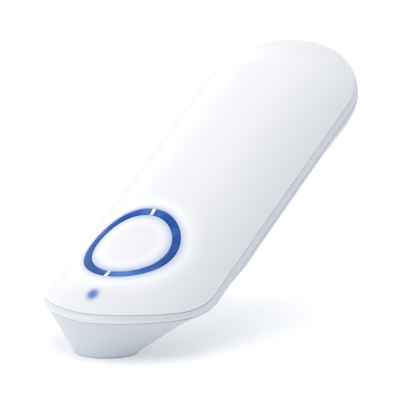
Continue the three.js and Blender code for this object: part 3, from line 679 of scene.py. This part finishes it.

# %% [markdown]
# The same plastic is used four times.  Only the cover, the button and the lamp lens get the
# ramps of painted glow; the inner mouldings are a little rougher.

# %% Shell materials
def white_abs(name, base_hex, rough, lit=False):
    """Satin ABS, IOR 1.53: base colour drifting by 1.5 percent over 25 mm; with lit, painted glow:
    base times a painted blue tint round the guide, towards blue at the painted lamp dot, plus a faint painted
    emission halo."""
    made, tree, where = material(name)
    base, inputs = linear(base_hex), {}
    paint = two_tone(tree, where, base, (*(0.985 * v for v in base[:3]), 1), 25, 2.0)
    if lit:
        ring = plan_distance(tree, where, RING_X, GLOW_SPAN)
        painted_glow_tint = add(tree, "ValToRGB", {"stops": [(mm / GLOW_SPAN, c) for mm, c in PAINTED_GLOW_TINT_MM]}, {"Fac": ring})
        painted_glow_emission = add(tree, "ValToRGB", {"stops": [(mm / GLOW_SPAN, c) for mm, c in PAINTED_GLOW_EMISSION_MM]}, {"Fac": ring})
        dot = plan_distance(tree, where, DOT_X, DOT_SPAN)
        painted_dot_glow = add(tree, "ValToRGB", {"stops": [(mm / DOT_SPAN, c) for mm, c in PAINTED_DOT_GLOW_MM]}, {"Fac": dot})
        paint = add(tree, "Mix", {"data_type": "RGBA", "blend_type": "MULTIPLY", FACTOR: 1.0},
                    {COLOR_A: paint, COLOR_B: painted_glow_tint}, MIXED)
        paint = add(tree, "Mix", {"data_type": "RGBA", COLOR_B: linear("#4C78C8")},
                    {FACTOR: painted_dot_glow, COLOR_A: paint}, MIXED)
        # painted glow: a faint emission halo round the guide, on a shell that is no lamp
        inputs = {"Emission_Color": painted_glow_emission, "Emission_Strength": 0.085}
    gloss, grain = (14, 3.0, rough - 0.04, rough + 0.06), (0.3, 2.0, 0.004)
    finish(tree, where, gloss, grain, Base_Color=paint, IOR=1.53, **inputs)
    return made


# painted glow: the cover, button and lens carry the light of the guide and the lamp as colour and emission
cover_white_painted_glow = white_abs("moulded white ABS, painted glow", "#EDEEF0", 0.36, lit=True)
# painted shade: the band and the lower shell are the same white as the cover, painted darker and cooler for
# the shade they stand in
band_white_painted_shade = white_abs("moulded white ABS, band with painted shade", "#E2E4E9", 0.38)
lower_white_painted_shade = white_abs("moulded white ABS, lower shell with painted shade", "#D0D5DC", 0.38)
inner_white = white_abs("moulded white ABS, inner parts", "#E6E7E9", 0.5)
print("ABS finishes:", [m.name.split(", ")[1] for m in (cover_white_painted_glow, band_white_painted_shade, lower_white_painted_shade, inner_white)])

# %% [markdown]
# ## The lit guide
# Tinted acrylic lit by six lamps below: deep blue, brighter patches of about 6 mm over the
# lamps, streaks of about half a millimetre where the melt flowed, and painted shade: both edges
# are painted dark where the gaps to the cover are.  A small emission gives its light.  The two
# ribs are white and get a painted glow, an emission for the guide's light on them.

# %% Guide and rib materials
def painted_gap_shade_stops(inner, outer, soft):
    """Painted shade of the gaps: dark at both radii and clear from soft inside them, as shares of the glow's
    span.
    """
    return [(inner / GLOW_SPAN, "#8990AA"), (inner / GLOW_SPAN + soft, "#FFFFFF"),
            (outer / GLOW_SPAN - soft, "#FFFFFF"), (outer / GLOW_SPAN, "#8990AA")]


guide_blue, tree, where = material("lit blue acrylic")
laid = handset_mm(tree, where, RING_X)
patches = add(tree, "TexNoise", {"Scale": 0.16, "Detail": 1.0}, {"Vector": laid})
streaks = add(tree, "TexNoise", {"Scale": 1.6, "Detail": 3.0}, {"Vector": laid})
blues = [(0.36, "#174E9E"), (0.52, "#2459AC"), (0.68, "#4C80C6")]
lit = add(tree, "ValToRGB", {"stops": blues}, {"Fac": patches})
flow = add(tree, "ValToRGB", {"stops": [(0.3, "#DADAE1"), (0.7, "#FFFFFF")]}, {"Fac": streaks})
ring = plan_distance(tree, where, RING_X, GLOW_SPAN)
# painted shade: the guide's colour darkens at both edges, where the gaps are
painted_gap_shade = add(tree, "ValToRGB", {"stops": painted_gap_shade_stops(RING_IN, RING_OUT, 0.007)}, {"Fac": ring})
multiply = {"data_type": "RGBA", "blend_type": "MULTIPLY"}
blue = add(tree, "Mix", {**multiply, FACTOR: 0.5}, {COLOR_A: lit, COLOR_B: flow}, MIXED)
blue = add(tree, "Mix", {**multiply, FACTOR: 1.0}, {COLOR_A: blue, COLOR_B: painted_gap_shade}, MIXED)
ripple = add(tree, "Bump", {"Strength": 0.4, "Distance": 0.00001}, {"Height": streaks})
finish(tree, where, Base_Color=blue, Emission_Color=blue, Emission_Strength=0.06, Normal=ripple,
       Roughness=0.4, IOR=1.49, Specular_IOR_Level=0.15)

# painted glow: the white ribs are no lamp but get an emission of 0.4 for the guide's light on them
rib_white_painted_glow, tree, where = material("moulded white ABS, rib with painted glow")
finish(tree, where, (2, 2.0, 0.3, 0.4), (0.3, 2.0, 0.003), Base_Color=linear("#F4F6FA"),
       Emission_Color=(1, 1, 1, 1), Emission_Strength=0.4)
print("guide band", round(RING_OUT - RING_IN, 2), "mm wide")

# %% [markdown]
# ## Metals, rubber, board and cells
# These only show with the door open or from below, but each has the grain of the real stuff:
# drawn steel, a gold-green board with faint tracks, wrapped cells, cellular foam.

# %% Inner materials
def grained(name, hex_a, hex_b, size_mm, rough, depth_mm=0.004, metallic=0.0, stretch=(1, 1, 1)):
    """Two close colours, roughness from rough - 0.06 to rough + 0.08 and relief, all from one
    noise of size_mm, which stretch squeezes along an axis where the metal was drawn."""
    made, tree, where = material(name)
    drawn = add(tree, "Mapping", {"Scale": stretch}, {"Vector": where})
    paint = two_tone(tree, drawn, linear(hex_a), linear(hex_b), size_mm, 3.0)
    gloss, grain = (size_mm, 3.0, rough - 0.06, rough + 0.08), (size_mm, 3.0, depth_mm)
    finish(tree, drawn, gloss, grain, Base_Color=paint, Metallic=metallic)
    return made


steel = grained("zinc-plated steel", "#C9CCD0", "#A9ADB3", 0.8, 0.3, 0.003, 1.0, (1, 6, 1))
brass = grained("gold-plated brass", "#D8B36A", "#C29A4C", 0.6, 0.28, metallic=1.0)
aluminium = grained("drawn aluminium", "#D4D6D9", "#BCC0C4", 0.8, 0.32, 0.003, 1.0, (1, 1, 8))
chip_black = grained("moulded epoxy", "#1D1E20", "#2A2B2E", 0.15, 0.6)
rubber_grey = grained("silicone rubber", "#5C6066", "#6A6E75", 0.4, 0.7)
flex_amber = grained("polyimide film", "#B8772B", "#A3641E", 3.0, 0.35)
led_yellow = grained("phosphor dome", "#E9D98A", "#F2E7B0", 0.4, 0.3)
foam_black = grained("open-cell foam", "#191A1B", "#34363A", 0.5, 0.95, 0.12)
window_dark = grained("coated silicon window", "#171A24", "#20242F", 4.0, 0.1)
print("materials so far:", len(bpy.data.materials))

# %% [markdown]
# The board's tracks are a brick pattern, since copper runs in straight lines that meet at right
# angles.  A cell's jacket is three bands along its length: bare tin at the ends, a dark sleeve
# with a copper-coloured third.

# %% Board and cell jacket
board_green, tree, where = material("solder-masked board")
tracks = add(tree, "TexBrick", {"Scale": 180.0, "Color1": linear("#1E5A3A"), "Color2": linear("#236644"),
             "Mortar": linear("#2F7A54"), "Mortar Size": 0.03}, {"Vector": where}, "Color")
raised = add(tree, "Bump", {"Strength": 1.0, "Distance": 0.00002}, {"Height": tracks.node.outputs["Fac"]})
finish(tree, where, (1.0, 2.0, 0.3, 0.42), Base_Color=tracks, Normal=raised)

CELL_X0, CELL_X1 = 45.4, 89.9  # ends of a cell along the handset, in millimetres
TIN, SLEEVE, COPPER = "#C7CBD1", "#2B3340", "#C58A4A"
cell_jacket, tree, where = material("printed cell jacket")
along = add(tree, "SeparateXYZ", links={"Vector": handset_mm(tree, where, 0)}, out="X")
share = add(tree, "MapRange", {"From Min": CELL_X0, "From Max": CELL_X1}, {"Value": along})
jacket = add(tree, "ValToRGB", {"stops": [(0.03, TIN), (0.032, SLEEVE), (0.70, SLEEVE), (0.702, COPPER),
             (0.96, COPPER), (0.962, TIN)]}, {"Fac": share})
finish(tree, where, (3.0, 2.0, 0.26, 0.36), (1.5, 2.0, 0.006), Base_Color=jacket, Metallic=0.55)
print("all materials:", len(bpy.data.materials))

# %% [markdown]
# ## Who carries what
# Every new piece rides on a body of the model and hides the faceted node it stands for.  A
# piece that only adds to another one, such as a rib or a screw cup, hides nothing.

# %% Pieces on their bodies
def dress(obj, coat, body, slot, *gone):
    """Give a piece its finish, its body and the nodes it replaces; slot is not used."""
    obj.data.materials.clear()
    obj.data.materials.append(coat)
    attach(obj, body)
    if gone:
        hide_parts(*gone)


dress(cover, cover_white_painted_glow, "housing", "shell_white", "top_cover")
dress(lens, cover_white_painted_glow, "housing", "dot_blue", "indicator_lens")
dress(band, band_white_painted_shade, "housing", "band_grey", "mid_band")
dress(housing, lower_white_painted_shade, "housing", "housing_white", "lower_housing")
dress(ring_left, guide_blue, "housing", "ring_blue", "light_ring_left")
dress(ring_right, guide_blue, "housing", "ring_blue", "light_ring_right")
dress(rib_front, rib_white_painted_glow, "housing", "inner_white")
dress(rib_rear, rib_white_painted_glow, "housing", "inner_white")
dress(button, cover_white_painted_glow, "button", "shell_white", "power_button")
dress(stem, cover_white_painted_glow, "button", "shell_white")
dress(door, lower_white_painted_shade, "door", "housing_white", "battery_door")
dress(door_cup, lower_white_painted_shade, "door", "housing_white")
for piece in tongues:
    dress(piece, lower_white_painted_shade, "door", "housing_white")
for piece in cups:
    dress(piece, lower_white_painted_shade, "housing", "housing_white")
dress(nose_ring, lower_white_painted_shade, "housing", "housing_white", "nose_ring")
dress(window, window_dark, "housing", "window_dark", "sensor_window")
print("pieces dressed:", 14 + len(tongues) + len(cups))

# %% [markdown]
# Nodes that stay keep their shape and only change their finish, so that the board, the cells
# and the screws look like themselves when the door is open.

# %% Finishes of the kept nodes
KEPT = {
    inner_white: ["ring_frame", "battery_tray", "sensor_holder"],
    chip_black: ["tact_switch", "microcontroller", "amplifier_chip", "regulator_chip", "buzzer"],
    steel: ["crystal_can", "front_contact_left", "front_contact_right", "tail_contact_bridge",
            "tail_spring_left", "door_screw", "thermopile_can", "thermopile_base"]
           + ["housing_screw_%d" % k for k in range(1, 5)],
    brass: ["sensor_pin_%d" % k for k in range(1, 5)],
    aluminium: ["waveguide"],
    rubber_grey: ["sensor_gasket", "switch_plunger"],
    board_green: ["main_board", "sensor_board"],
    flex_amber: ["head_flex"],
    led_yellow: ["indicator_lamp"] + ["ring_lamp_%d" % k for k in range(1, 7)],
    cell_jacket: ["battery_left", "battery_right"],
    foam_black: ["door_foam"],
}
for coat, names in KEPT.items():
    for name in names:
        for place in nodes[name].material_slots:
            place.material = coat
print("finishes on kept nodes:", sum(len(v) for v in KEPT.values()))

# %% [markdown]
# ## Floor
# A white paper sweep is nearly matte.  It glows faintly, as paper does in a bright studio where
# light comes back from every wall, so that shadows on it stay pale.

# %% Paper floor
REACH = 8.0  # metres from the middle to the floor's edge
paper, tree, where = material("white paper sweep")
finish(tree, where, (1.2, 2.0, 0.85, 0.95), (1.2, 2.0, 0.002), Base_Color=linear("#E4E4E4"),
       Specular_IOR_Level=0.1, Emission_Color=(1, 1, 1, 1), Emission_Strength=0.32)
floor_mesh = bpy.data.meshes.new("floor")
floor_mesh.from_pydata([(-REACH, -REACH, 0), (REACH, -REACH, 0), (REACH, REACH, 0), (-REACH, REACH, 0)], [],
                       [(0, 1, 2, 3)])
floor_mesh.materials.append(paper)
floor = bpy.data.objects.new("floor", floor_mesh)
bpy.context.scene.collection.objects.link(floor)
print("floor area m2:", (2 * REACH) ** 2)

# %% [markdown]
# ## Light
# The surround is bright on the left and falls to a cool grey on the right, which rounds the
# arch.  A large overhead box lights the crown, a window box rolls light over the left flank,
# and a low box reaches the left side of the head.

# %% Surround and soft boxes
world = bpy.data.worlds.new("studio")
bpy.context.scene.world = world
world.use_nodes = True
sky = world.node_tree
leftward = add(sky, "SeparateXYZ", links={"Vector": add(sky, "TexCoord", out="Generated")}, out="Y")
share = add(sky, "MapRange", {"From Min": -1.0, "From Max": 1.0}, {"Value": leftward})
greys = [(0.0, "#8997A8"), (0.3, "#C5CDD7"), (0.5, "#F7F9FD"), (0.7, "#F8F9FC")]
wash = add(sky, "ValToRGB", {"stops": greys}, {"Fac": share})
sky.links.new(wash, sky.nodes["Background"].inputs["Color"])
sky.nodes["Background"].inputs["Strength"].default_value = 0.84


def softbox(name, at, aim, size, watts, color=(1, 1, 1)):
    """A rectangular area light at one point, its face turned along aim - at."""
    light = bpy.data.lights.new(name, "AREA")
    light.shape = "RECTANGLE"
    light.size, light.size_y = size
    light.energy, light.color = watts, color
    obj = bpy.data.objects.new(name, light)
    bpy.context.scene.collection.objects.link(obj)
    obj.location = at
    obj.rotation_euler = (Vector(aim) - Vector(at)).to_track_quat("-Z", "Y").to_euler()


softbox("window", (0.6, 1.05, 0.9), (0.03, 0, 0.03), (1.1, 1.1), 2.5, (1.0, 0.95, 0.89))
softbox("overhead", (0.25, -0.15, 1.35), (0.03, 0, 0.03), (1.3, 1.3), 8.3, (1.0, 0.95, 0.90))
softbox("low_left", (-1.1, 0.75, 0.2), (0.0, 0, 0.02), (0.8, 0.4), 2.8)
print("lights:", len(bpy.data.lights))

# %% [markdown]
# ## Camera
# A long lens from the nose end, a little above the floor, looks along the handset.  Its three
# axes are given as unit vectors, so the camera's matrix is built from them directly.

# %% Camera
camera_data = bpy.data.cameras.new("camera")
camera_data.sensor_width, camera_data.lens = 36.0, 252.634
camera_data.clip_start, camera_data.clip_end = 0.01, 50
camera = bpy.data.objects.new("camera", camera_data)
bpy.context.scene.collection.objects.link(camera)
right = Vector((0.55777, -0.83, 0.00061))
down = Vector((-0.15364, -0.10398, -0.98264))
ahead = Vector((0.81565, 0.54799, -0.18552))
axes = Matrix((right, -down, -ahead)).transposed().to_4x4()
camera.matrix_world = Matrix.Translation(Vector((-0.53281, -0.38501, 0.1611))) @ axes
bpy.context.scene.camera = camera
bpy.context.scene.view_settings.view_transform = "Standard"
print("camera looks down by", round(math.degrees(math.asin(-ahead.z)), 1), "degrees")
